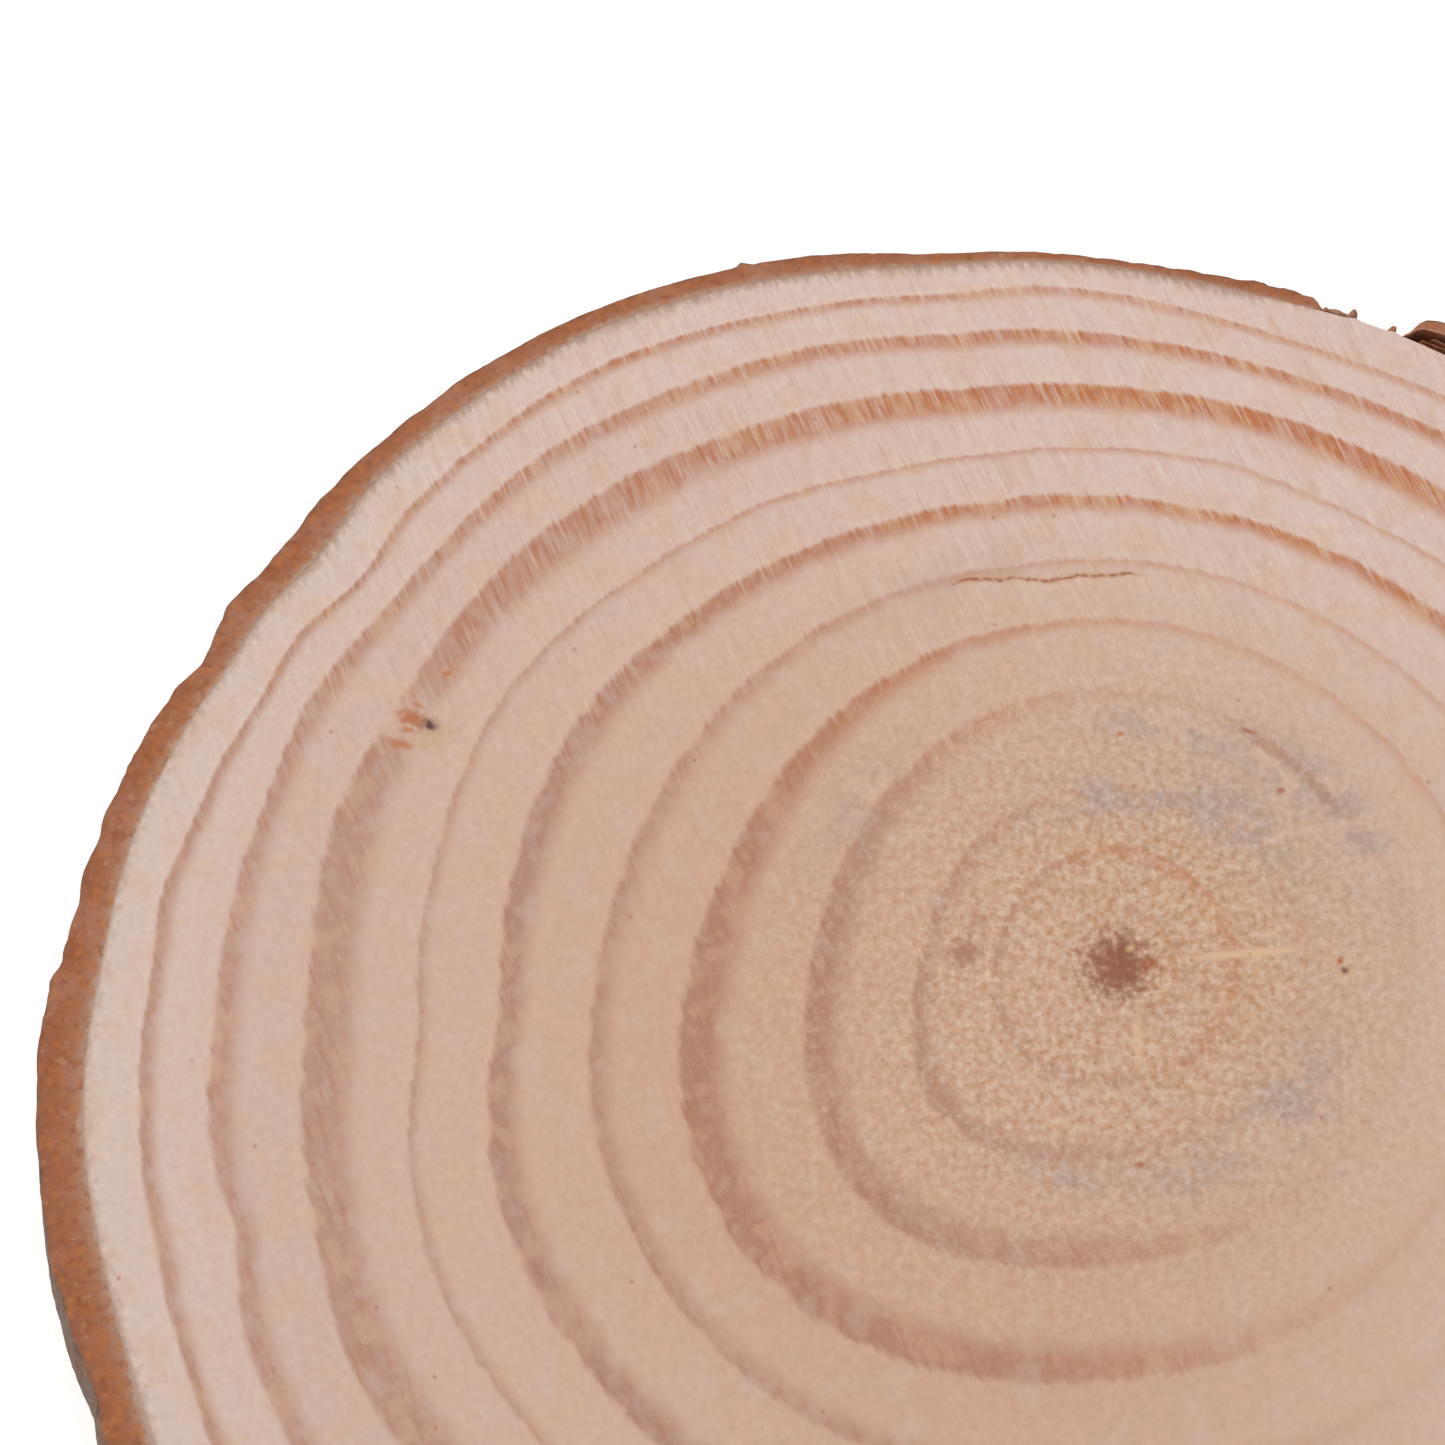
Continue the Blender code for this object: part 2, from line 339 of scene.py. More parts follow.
def upperHeight(angle, radius, year):
    # latewood proud, waves along the saw's direction, a slight warp, the crack sunk in
    flat = placePoints(angle[None, :], radius, topHeight)
    turn = math.radians(-sawTurn)
    x, y = flat[..., 0] - stem["pith"][0], flat[..., 1] - stem["pith"][1]
    across, along = x * math.cos(turn) - y * math.sin(turn), x * math.sin(turn) + y * math.cos(turn)
    share = (year - np.floor(year - 1e-6))[:, None]
    height = topHeight - years["relief"] * (1.0 - smoothStep(0.5, 0.95, share))
    wave, sizeAcross, sizeAlong = years["sawWave"]
    height = height + wave * (latticeNoise(across / sizeAcross, along / sizeAlong, seed=1.0) - 0.5)
    warp, size = years["warp"]
    height = height + warp * (latticeNoise(x / size, y / size, seed=2.0) - 0.5)
    crack = years["crack"]
    path, window = crackPath(angle % 360.0)
    return height - crack["depth"] * window * np.exp(-(((radius - path) / crack["halfWidth"]) ** 2))


def discMap(everyPoint, rows, columns, topRows, sideRows, topFan, belowFan):
    # the baked map: the upper face large, the lower one small, the side as a strip
    flat = everyPoint[:, :2] / years["mapWidth"] + 0.5
    upper = 0.004 + 0.742 * flat
    lower = np.array([0.754, 0.004]) + 0.242 * flat
    count = rows * columns
    lowerFrom = topRows + sideRows
    grid = upper[:count].reshape(rows, columns, 2).copy()
    grid[lowerFrom:] = lower[:count].reshape(rows, columns, 2)[lowerFrom:]
    corners = gridMap(np.concatenate([grid, grid[:, :1]], axis=1))
    strip = np.stack(np.broadcast_arrays(
        0.76 + 0.04 * np.arange(sideRows + 2)[:, None] / sideRows,
        0.26 + 0.73 * np.arange(columns + 1)[None, :] / columns), axis=-1)
    corners[topRows - 1:lowerFrom] = gridMap(strip)
    fans = [upper[topFan].reshape(-1, 2), lower[belowFan].reshape(-1, 2)]
    return np.concatenate([corners.reshape(-1, 2)] + fans)


def buildWood(finish):
    angle = np.concatenate([np.arange(*stretch) for stretch in years["angles"]])
    edge = edgeWithNubs(angle)
    parts = []

    def addRows(radius, height, year, index, side):
        points = placePoints(angle[None, :], radius, height)
        parts.append({"points": points, **woodValues(angle, points, radius, year, index, side)})

    radius, year, index = woodFace(angle, years["topRows"])
    height = upperHeight(angle, radius, year)
    radius[-1] = edge - years["corners"][0]
    addRows(radius, height, year, index, 0.0)

    # the stem's own side, fluted along the grain
    level = np.concatenate([[0.998], np.linspace(0.96, 0.04, 9), [0.006]])[:, None]
    flutes = sum(depth * latticeNoise(angle / size, level * count, seed)
                 for depth, size, count, seed in years["flutes"])
    flutes[[0, -1]] = 0.0
    lastYear = np.full(len(level), len(years["edges"]) + 1)
    addRows(edge - flutes, level * topHeight + 0.0 * flutes, lastYear, lastYear - 1, 1.0)

    # lower face, from the edge back to the pith
    below, year, index = woodFace(angle, years["bottomRows"])
    below[-1] = edge - years["corners"][1]
    addRows(below[::-1], 0.0 * below, year[::-1], index[::-1], 0.0)

    joined = {key: np.concatenate([part[key] for part in parts]) for key in parts[0]}
    points = joined.pop("points")
    rows, columns = points.shape[:2]
    middles = [placePoints(0.0, 0.0, topHeight - years["relief"]), placePoints(0.0, 0.0, 0.0)]
    count = rows * columns
    around = np.arange(columns)
    onward = (around + 1) % columns
    topFan = np.stack([np.full(columns, count), around, onward], axis=1)
    last = (rows - 1) * columns
    belowFan = np.stack([np.full(columns, count + 1), last + onward, last + around], axis=1)
    faces = gridQuads(rows, columns, wrapColumns=True).tolist() + topFan.tolist() + belowFan.tolist()
    everyPoint = np.concatenate([points.reshape(-1, 3), middles])
    places = discMap(everyPoint, rows, columns, len(radius), len(level), topFan, belowFan)

    # the middle points of both faces lie in the pith, far from rim and crack
    centre = {"lateStart": 0.84, "lateTone": 0.3, "rim": 40.0, "crack": -23.0}
    attributes = {key: np.concatenate([values.ravel(), [centre.get(key, 0.0)] * 2])
                  for key, values in joined.items()}
    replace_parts(makePiece("sawnDisc", everyPoint, faces, attributes, finish, places), "wood")


woodLook = {
    # earlywood and latewood from the pith (0) out to the bark (1): tan round the pith,
    # paler and pinker outwards, and tanner on the fast side
    "earlySlow": ((0.0, "#C59D7E"), (0.19, "#C69F80"), (0.28, "#C8A68D"), (0.36, "#CEAE9A"),
                  (0.44, "#D0B29F"), (0.53, "#D5B9AA"), (0.62, "#D7BDB1"), (1.0, "#D8BEB2")),
    "earlyFast": ((0.0, "#C9A286"), (0.36, "#C9A287"), (0.44, "#C9A389"), (0.53, "#CBA791"),
                  (0.61, "#CDAB98"), (0.78, "#CCAE9E"), (0.86, "#D0B6A9"), (1.0, "#D2BCB0")),
    "lateSlow": ("#BB7045", "#C08250"),     # red-brown and golden patches
    "lateFast": ((0.25, "#B2866E"), (0.40, "#AF7F66"), (0.58, "#B08674"), (0.80, "#B78D7A")),
    "pithRadius": 1.74,
    "pith": ("#8C5843", "#AF6E48"),
    "resin": "#9E6445",
    "bareSide": ("#C9A27E", "#A87450"),
    # noise: size across and along the saw's direction, or alike both ways, turn, detail;
    # the wood's own cells are finer than that and would not show
    "noises": (
        ("teeth", 0.36, 2.4, sawTurn, 1.0), ("scratch", 0.16, 3.4, sawTurn, 1.0),
        ("streak", 0.90, 4.5, sawTurn, 1.0), ("mottle", 0.50, 0.50, 0.0, 1.0),
        ("fine", 0.32, 0.32, 0.0, 1.5), ("patch", 2.2, 2.2, 0.0, 2.0),
    ),
    # masks: what each is made from, where it starts, where it is full, and how strong
    "masks": (
        ("nearPith", "year.Fac", 5.5, 1.5, 1.0), ("atPith", "year.Fac", 2.6, 1.4, 1.0),
        ("palerMottle", "mottle", 0.46, 0.80, 0.36), ("darkMottle", "mottle", 0.54, 0.20, 0.34),
        ("palerFleck", "fine", 0.54, 0.78, 0.30), ("darkFleck", "fine", 0.42, 0.18, 0.45),
        ("palerRay", "rays", 0.54, 0.74, 0.16), ("darkRay", "rays", 0.46, 0.26, 0.30),
        ("warmer", "patch", 0.48, 0.70, 0.36), ("cooler", "patch", 0.48, 0.28, 0.26),
        ("broken", "patch", 0.34, 0.60, 0.95), ("hot", "teeth", 0.48, 0.28, 0.45),
        # the pale and the dark streaks from the scratch noise are painted highlight and painted shade on the
        # saw's scratches
        ("groove", "teeth", 0.46, 0.24, 0.24), ("lit", "scratch", 0.56, 0.80, 0.20),
        ("dim", "scratch", 0.44, 0.22, 0.20), ("brush", "streak", 0.50, 0.75, 0.12),
        ("line", "rim.Fac", 0.24, 0.00, 0.42), ("dirt", "rimWorn", 1.15, 0.35, 0.40),
        ("tornMore", "torn.Fac", 0.32, 0.90, 1.0), ("crackHalo", "crackEnds", 0.34, 0.02, 0.35),
        ("golden", "patch", 0.44, 0.60, 0.85), ("smear", "smearShare", 1.0, 0.0, 0.50),
        ("crackLine", "crackWide", -0.03, -0.17, 0.80), ("dot", "cells.Distance", 0.055, 0.010, 0.50),
    ),
    # masks that hold only where both of two others do
    "shared": (
        ("palerNear", "palerMottle", "nearPith"), ("darkNear", "darkMottle", "nearPith"),
        ("palerSpeck", "palerFleck", "nearPith"), ("darkSpeck", "darkFleck", "nearPith"),
        ("palerRays", "palerRay", "atPith"), ("darkRays", "darkRay", "atPith"),
        ("stained", "stain.Fac", "broken"), ("hotTorn", "hot", "torn.Fac"),
        ("hotLate", "hotTorn", "lateness"), ("grooveFast", "groove", "fast.Fac"),
        ("grooveLate", "grooveFast", "lateness"), ("litTorn", "lit", "torn.Fac"),
        ("dimTorn", "dim", "torn.Fac"), ("brushTorn", "brush", "torn.Fac"),
        ("smearTorn", "smear", "tornMore"), ("dots", "dot", "chosen"),
    ),
    # the layers of colour, one over the other: mask and colour
    "layers": (
        ("warmer", "#D1AB8E"), ("cooler", "#CDB3A8"), ("stained", "#AF9A92"), ("palerNear", "#DCC4B0"),
        ("darkNear", "#AE7A50"), ("palerSpeck", "#DFD0C6"), ("darkSpeck", "#A66A42"),
        ("palerRays", "#DCC4AE"), ("darkRays", "#B07C50"), ("hotLate", "#B5683D"),
        # the pale and dark scratch layers are painted highlight and painted shade on the saw's scratches
        ("grooveLate", "#A07058"), ("brushTorn", "#BE9276"), ("dimTorn", "#B0836A"),
        ("litTorn", "#E8DAD0"), ("dirt", "#A88A76"), ("smearTorn", "#8A644C"), ("line", "#966E56"),
        ("crackHalo", "#BC8058"), ("crackLine", "#9C603A"),
    ),
    # branch trace, stains and rays: place from the pith, half sizes, turn, colour, strength
    "spots": (
        ((-37.95, 13.35), (1.40, 0.85), 20.0, "#C6A076", 0.50),
        ((-38.25, 14.10), (0.75, 0.50), -25.0, "#A08070", 0.60),
        ((-39.10, 14.45), (0.75, 0.46), -20.0, "#B4673C", 0.85),
        ((-39.35, 13.75), (0.36, 0.22), -20.0, "#B97044", 0.75),
        ((-38.75, 15.15), (0.34, 0.20), -30.0, "#B97850", 0.60),
        ((-38.10, 14.00), (0.36, 0.24), -25.0, "#59393A", 0.95),
        ((-39.75, 12.90), (0.64, 0.26), -18.0, "#BC7148", 0.80),
        ((-37.20, 17.10), (0.22, 0.18), 0.0, "#BE7448", 0.80),
        ((-8.35, 0.70), (0.85, 0.80), 0.0, "#A5745C", 0.75),
        ((-7.70, 2.50), (0.55, 0.90), -20.0, "#B08068", 0.45),
        ((-9.90, -7.60), (0.70, 0.60), 0.0, "#B08068", 0.45),
        ((1.75, 0.05), (0.36, 0.30), 0.0, "#A65A34", 0.85),
        ((0.72, 0.95), (0.24, 0.16), 30.0, "#C7AA76", 0.80),
        ((6.90, 0.65), (2.90, 0.22), 5.0, "#DDB795", 0.85),
        ((0.95, -4.30), (0.28, 1.60), 0.0, "#DDB795", 0.55),
        ((9.00, 12.60), (2.00, 0.36), -36.0, "#A87A60", 0.50),
        ((11.60, 10.10), (2.20, 0.32), -50.0, "#A87A60", 0.50),
        ((7.80, 13.60), (0.26, 0.16), -30.0, "#A8623E", 0.90),
        ((9.50, 10.10), (0.24, 0.17), 0.0, "#AC6A52", 0.80),
        ((12.25, 0.25), (0.18, 0.22), 0.0, "#B5603F", 0.85),
        ((12.40, -0.30), (0.20, 0.15), -30.0, "#80504A", 0.85),
        ((0.60, 13.50), (0.20, 0.14), 0.0, "#C07044", 0.80),
        ((0.80, -11.20), (0.22, 0.18), 0.0, "#AE6C4C", 0.80),
    ),
}


def addWoodNoises(add, pithAt):
    for key, across, along, turn, detail in woodLook["noises"]:
        add(key + "Place", "Mapping",
            {"vector_type": "TEXTURE", "Location": pithAt, "Rotation": (0.0, 0.0, math.radians(turn)),
             "Scale": (across * mm, along * mm, 1.0)}, {"Vector": "place.Object"})
        add(key, "TexNoise", {"noise_dimensions": "2D", "Scale": 1.0, "Detail": detail},
            {"Vector": key + "Place"})
    # rays: noise over the direction from the pith, long in the radius
    add("direction", "VectorMath", {"operation": "NORMALIZE"}, {0: "mottlePlace"})
    add("around", "VectorMath", {"operation": "SCALE", "Scale": 6.0}, {0: "direction"})
    add("rayPlace", "VectorMath", {"operation": "MULTIPLY_ADD", 1: (0.30, 0.30, 0.0)},
        {0: "mottlePlace", 2: "around"})
    add("rays", "TexNoise", {"noise_dimensions": "3D", "Scale": 1.0, "Detail": 1.0}, {"Vector": "rayPlace"})


def addLateness(add):
    # where in its year a point lies, with the ring lines a little unsteady; the inner edge
    # of the latewood is torn into teeth where the saw tore, and fades elsewhere
    add("wander", "Math", {"operation": "MULTIPLY_ADD", 1: 0.10}, {0: "patch", 2: "year.Fac"})
    add("jitter", "Math", {"operation": "MULTIPLY_ADD", 1: 0.05}, {0: "teeth", 2: "wander"})
    add("shifted", "Math", {"operation": "ADD", 1: -0.075}, {0: "jitter"})
    add("part", "Math", {"operation": "FRACT"}, {0: "shifted"})
    add("toothSize", "MapRange", {"From Min": 0.25, "To Min": 0.02, "To Max": 0.15}, {"Value": "torn.Fac"})
    add("toothSum", "Math", {"operation": "ADD"}, {0: "teeth", 1: "scratch"})
    add("toothSide", "Math", {"operation": "SUBTRACT", 1: 1.0}, {0: "toothSum"})
    add("toothed", "Math", {"operation": "MULTIPLY_ADD"}, {0: "toothSide", 1: "toothSize", 2: "part"})
    add("intoLate", "Math", {"operation": "SUBTRACT"}, {0: "toothed", 1: "lateStart.Fac"})
    add("softness", "MapRange", {"To Min": 0.30, "To Max": 0.24}, {"Value": "torn.Fac"})
    add("lateShare", "Math", {"operation": "DIVIDE"}, {0: "intoLate", 1: "softness"})
    add("inner", "MapRange", {**smooth, "From Min": -0.4, "From Max": 0.7}, {"Value": "lateShare"})
    add("outer", "MapRange", {**smooth, "From Min": 0.905, "From Max": 1.0, "To Min": 1.0, "To Max": 0.0},
        {"Value": "part"})
    add("deeper", "MapRange", {**smooth, "From Min": 0.3, "To Min": 0.70}, {"Value": "part"})
    add("streaky", "MapRange", {"From Min": 0.72, "From Max": 1.28, "To Min": 1.22, "To Max": 0.72},
        {"Value": "toothSum"})
    add("grainy", "MapRange", {"From Min": 0.30, "From Max": 0.70, "To Min": 0.70, "To Max": 1.30},
        {"Value": "mottle"})
    add("uneven", "Mix", {"data_type": "FLOAT"}, {0: "torn.Fac", 2: "grainy", 3: "streaky"})
    last = "inner"
    for number, factor in enumerate(("outer", "deeper", "lateTone.Fac", "uneven")):
        add("late%d" % number, "Math", {"operation": "MULTIPLY"}, {0: last, 1: factor})
        last = "late%d" % number
    add("lateness", "Math", {"operation": "MINIMUM", 1: 1.0}, {0: last})


def addWoodColours(add):
    # base colours from the pith outwards, on the slow and on the fast side
    add("out", "Math", {"operation": "DIVIDE", 1: len(years["edges"]) + 1.0}, {0: "year.Fac"})
    for key in ("earlySlow", "earlyFast", "lateFast"):
        add(key, "ValToRGB", {"stops": woodLook[key]}, {"Fac": "out"})
    add("early", "Mix", coloured, {0: "fast.Fac", 6: "earlySlow", 7: "earlyFast"})
    add("lateSlow", "Mix", {**coloured, 6: hexColour(woodLook["lateSlow"][0]),
                            7: hexColour(woodLook["lateSlow"][1])}, {0: "golden"})
    add("lateColour", "Mix", coloured, {0: "fast.Fac", 6: "lateSlow", 7: "lateFast"})


def addWoodMasks(add):
    add("rimWorn", "Math", {"operation": "MULTIPLY_ADD", 1: 0.9}, {0: "mottle", 2: "rim.Fac"})
    # the bark's dirt is smeared inwards, in places further than in others
    add("reach", "MapRange",
        {**smooth, "From Min": 0.72, "From Max": 1.26, "To Min": 0.30, "To Max": 1.15},
        {"Value": "toothSum"})
    add("smearShare", "Math", {"operation": "DIVIDE"}, {0: "rim.Fac", 1: "reach"})
    add("crackAway", "Math", {"operation": "ABSOLUTE"}, {0: "crack.Fac"})
    add("crackEnds", "Math", {"operation": "ADD"}, {0: "crackAway", 1: "crackGap.Fac"})
    add("crackWide", "Math", {"operation": "MULTIPLY_ADD", 1: -0.34}, {0: "fine", 2: "crackEnds"})
    # resin canals: a dark dot in each of a few chosen cells
    add("cells", "TexVoronoi", {"voronoi_dimensions": "2D", "Scale": 1.0 / (3.4 * mm)},
        {"Vector": "place.Object"})
    add("cellValue", "SeparateColor", None, {0: "cells.Color"})
    add("chosen", "MapRange", {"From Min": 0.91, "From Max": 0.94}, {"Value": "cellValue"})
    for key, source, low, high, strength in woodLook["masks"]:
        add(key, "MapRange", {**smooth, "From Min": low, "From Max": high, "To Max": strength},
            {"Value": source})
    for key, one, other in woodLook["shared"]:
        add(key, "Math", {"operation": "MULTIPLY"}, {0: one, 1: other})


def addWoodLayers(add):
    add("banded", "Mix", coloured, {0: "lateness", 6: "early", 7: "lateColour"})
    last = "banded"
    for mask, tint in woodLook["layers"]:
        add("with" + mask, "Mix", {**coloured, 7: hexColour(tint)}, {0: mask, 6: last})
        last = "with" + mask
    # soft grain: noise laid over it so that a grey of one half changes nothing
    for key, strength in (("mottle", 0.08), ("fine", 0.04)):
        add(key + "Grain", "Mix", {**coloured, "blend_type": "OVERLAY", 0: strength},
            {6: last, 7: key})
        last = key + "Grain"
    return last


def addSpots(add, pithAt, last):
    # pith, branch trace, stains and rays: ellipses with edges roughened by the noise
    add("pithColour", "Mix", {**coloured, 6: hexColour(woodLook["pith"][0]),
                              7: hexColour(woodLook["pith"][1])}, {0: "palerMottle"})
    pith = ((0.0, 0.0), (woodLook["pithRadius"],) * 2, 0.0, None, 0.92)
    for number, (centre, halfSizes, turn, tint, strength) in enumerate((pith,) + woodLook["spots"]):
        spot = "spot%d" % number
        place = (pithAt[0] + centre[0] * mm, pithAt[1] + centre[1] * mm, 0.0)
        add(spot + "At", "Mapping",
            {"vector_type": "TEXTURE", "Location": place, "Rotation": (0.0, 0.0, math.radians(turn)),
             "Scale": (halfSizes[0] * mm, halfSizes[1] * mm, 1.0)}, {"Vector": "place.Object"})
        add(spot + "Flat", "VectorMath", {"operation": "MULTIPLY", 1: (1.0, 1.0, 0.0)}, {0: spot + "At"})
        add(spot + "Away", "VectorMath", {"operation": "LENGTH"}, {0: spot + "Flat"})
        add(spot + "Rough", "Math", {"operation": "MULTIPLY_ADD", 1: 0.6},
            {0: "fine", 2: spot + "Away.Value"})
        add(spot + "Worn", "Math", {"operation": "MULTIPLY_ADD", 1: 0.9}, {0: "mottle", 2: spot + "Rough"})
        add(spot, "MapRange", {**smooth, "From Min": 2.35, "From Max": 1.05, "To Max": strength},
            {"Value": spot + "Worn"})
        settings = coloured if tint is None else {**coloured, 7: hexColour(tint)}
        links = {0: spot, 6: last, 7: "pithColour"} if tint is None else {0: spot, 6: last}
        add(spot + "On", "Mix", settings, links)
        last = spot + "On"
    return last


def woodMaterial():
    made = newMaterial("sawnPine")
    add = partial(addNode, made.node_tree)
    pithAt = (stem["pith"][0] * mm, stem["pith"][1] * mm, 0.0)
    add("place", "TexCoord")
    for key in ("year", "lateStart", "lateTone", "rim", "crack", "crackGap", "stain", "torn", "fast", "side"):
        add(key, "Attribute", {"attribute_name": key})
    addWoodNoises(add, pithAt)
    addLateness(add)
    addWoodMasks(add)
    addWoodColours(add)
    last = addSpots(add, pithAt, addWoodLayers(add))
    add("withDots", "Mix", {**coloured, 7: hexColour(woodLook["resin"])}, {0: "dots", 6: last})
    # the bare side, where the bark is gone
    add("sideColour", "Mix", {**coloured, 6: hexColour(woodLook["bareSide"][0]),
                              7: hexColour(woodLook["bareSide"][1])}, {0: "brush"})
    add("colour", "Mix", coloured, {0: "side.Fac", 6: "withDots", 7: "sideColour"})

    add("furrows", "Math", {"operation": "MULTIPLY"}, {0: "scratch", 1: "torn.Fac"})
    add("height", "Math", {"operation": "MULTIPLY_ADD", 1: 0.25}, {0: "fine", 2: "furrows"})
    add("bump", "Bump", {"Strength": 0.4, "Distance": 0.03 * mm}, {"Height": "height"})
    add("rough", "MapRange", {"To Min": 0.80, "To Max": 0.68}, {"Value": "lateness"})
    add("shader", "BsdfPrincipled", {"IOR": 1.45, "Specular IOR Level": 0.3},
        {"Base Color": "colour", "Roughness": "rough", "Normal": "bump"})
    add("output", "OutputMaterial", None, {"Surface": "shader"})
    return made


# Bark: thin young pine bark. The saw shows its mottled red-brown inside; the outer skin
# is grey-brown with low ridges and small scales.
barkShape = {
    "ridgePitch": 2.9,
    "ridgeDepth": 0.24,
    "ridgeShift": 2.25,           # where the first ridge starts
    "ridgeWander": 3.2,           # how far the ridges wander sideways below the cut
    "wanderNoise": ((4.5, 1.0, 14.0), (1.6, 0.4, 15.0)),     # size, share, seed
    "breakUp": (0.9, 1.6, 2.6, 2.2),  # share, depth below the cut, length and height of a piece
    "ridgeUneven": ((0.55, 3.0, 1.0), (0.35, 8.0, 2.0)),     # share of a pitch, waves, start
    "smallRidges": 0.08,          # depth of the smaller ones between
    # noise on the skin: length, height, depth, seed
    "skinNoise": ((1.6, 3.5, 0.14, 11.0), (0.55, 1.1, 0.07, 12.0)),
    "flakes": (2.3, 1.7, 0.05),   # length, height, depth
    "swell": 0.10,                # the skin stands this far out between the valleys
    "smoothPart": (0.78, 120.0, 42.0),    # share, angle, half width
    "lumps": ((0.25, 75.5, 4.5), (0.06, 82.0, 6.0), (0.10, 136.0, 1.6), (-0.44, 152.5, 3.6),
              (0.15, 157.0, 0.8), (-0.72, 160.5, 2.4), (0.12, 167.2, 0.8), (0.24, 170.6, 1.3),
              (0.16, 174.4, 1.5), (0.24, 180.9, 0.6), (0.55, 183.6, 3.2), (0.20, 188.5, 2.5),
              (-0.17, 198.5, 2.2), (-0.42, 202.6, 1.8), (-0.38, 202.0, 5.0), (-0.30, 206.5, 3.0)),
    "spikes": ((0.30, 115.6, 0.35),),
    # scales on the sides that the picture leaves out: number, least and most height; the
    # skin rises slowly up to a scale's edge and drops behind it
    "scales": (38, 0.10, 0.36),
    "scaleAngles": (210.0, 418.0),
    "scaleWidth": (2.2, 0.5),
    "rimRound": 0.03,             # the rim is worn round by this much, and more in one place
    "wornRim": (0.20, 216.0, 16.0),
    "seat": 0.0,                  # gap to the wood, where the cambium was
    "sprung": (1.25, 60.5, 6.0),  # the torn end has lifted off the wood
    "tornEnds": (1.3, 1.1),       # degrees in which the bark comes to its full thickness
    "step": 0.4,                  # degrees between two outlines
}


def barkOutside(angle, level):
    # lobes shaped like a sine's half waves with sharp valleys between, smaller lobes and
    # noise in three sizes on them, and the edges of scales; nearly smooth on one part
    turn = np.radians(angle)
    run, tall = stem["meanRadius"] * turn, level * topHeight
    # below the cut the ridges wander sideways, fork and break up into scales
    wander = 0.0
    for size, share, seed in barkShape["wanderNoise"]:
        atCut = latticeNoise(run / size, topHeight / size, seed)
        wander = wander + share * (latticeNoise(run / size, tall / size, seed) - atCut)
    along = (run + barkShape["ridgeShift"] + barkShape["ridgeWander"] * wander) / barkShape["ridgePitch"]
    for share, waves, start in barkShape["ridgeUneven"]:
        along = along + share * np.sin(waves * turn + start)
    share, below, length, height = barkShape["breakUp"]
    broken = smoothStep(0.35, 0.60, latticeNoise(run / length, tall / height, seed=16.0))
    whole = 1.0 - share * smoothStep(0.0, below, topHeight - tall) * broken
    depth = barkShape["ridgeDepth"] * (0.65 + 0.35 * np.sin(5.0 * turn + 0.5)) * whole
    lobe = np.abs(np.sin(np.pi * along))
    small = np.abs(np.sin(np.pi * (along * 2.3 + 0.8 * np.sin(along * 1.3) + 1.5 * level)))
    skin = barkShape["swell"] - depth * (1.0 - lobe) - barkShape["smallRidges"] * (1.0 - small)
    for length, height, deep, seed in barkShape["skinNoise"]:
        skin = skin + deep * (latticeNoise(run / length, tall / height, seed) - 0.5)
    # a noise that drops back to zero at each of its steps makes the flakes' edges
    length, height, deep = barkShape["flakes"]
    flake = latticeNoise((run + 0.4 * tall) / length, tall / height, seed=13.0)
    skin = skin + deep * ((flake * 3.0) % 1.0 - 0.5)
    skin = 0.05 + skin * (1.0 - sumOfBells(angle, (barkShape["smoothPart"],)))
    number, least, most = barkShape["scales"]
    chance = np.random.default_rng(5)
    rise, drop = barkShape["scaleWidth"]
    heights = chance.uniform(least, most, number)
    for height, middle in zip(heights, chance.uniform(*barkShape["scaleAngles"], number)):
        away = (angle - middle - 0.5 * (1.0 - level) + 180.0) % 360.0 - 180.0
        scale = np.where(away < 0.0, np.exp(-np.abs(away) / rise), np.exp(-((away / drop) ** 2)))
        skin = skin + height * scale * smoothStep(0.25, 0.75, latticeNoise(tall / 2.4, middle, seed=17.0))
    # the second value is how deep a point lies in a valley between the lobes, where the finish paints shade
    return skin, whole * (1.0 - lobe) ** 2


def stripMap(everyPoint, count, columns, caps):
    # the baked map: the unrolled strip, cut in four lengths that lie over each other, and
    # the two torn ends small in the band left above them
    lengths = 4
    row = np.arange(count + 1)[:, None] / count
    column = np.arange(columns - 1)[None, :] * lengths / (columns - 1)
    part = np.floor(column)
    corners = []
    for rowStep, columnStep in ((0, 0), (1, 0), (1, 1), (0, 1)):
        u = 0.004 + 0.992 * (column - part + columnStep * lengths / (columns - 1))
        v = 0.955 * (part + 0.02 + 0.96 * row[rowStep:count + rowStep]) / lengths
        corners.append(np.stack(np.broadcast_arrays(np.clip(u, 0.0, 1.0), v), axis=-1))
    away = np.hypot(everyPoint[:, 0] - stem["pith"][0], everyPoint[:, 1] - stem["pith"][1]) - 40.0
    profile = 0.0015 * np.stack([away, everyPoint[:, 2]], axis=-1) + np.array([0.005, 0.965])
    ends = [profile[caps[0]].reshape(-1, 2), profile[caps[1]].reshape(-1, 2) + np.array([0.05, 0.0])]
    return np.concatenate([np.stack(corners, axis=2).reshape(-1, 2)] + ends)


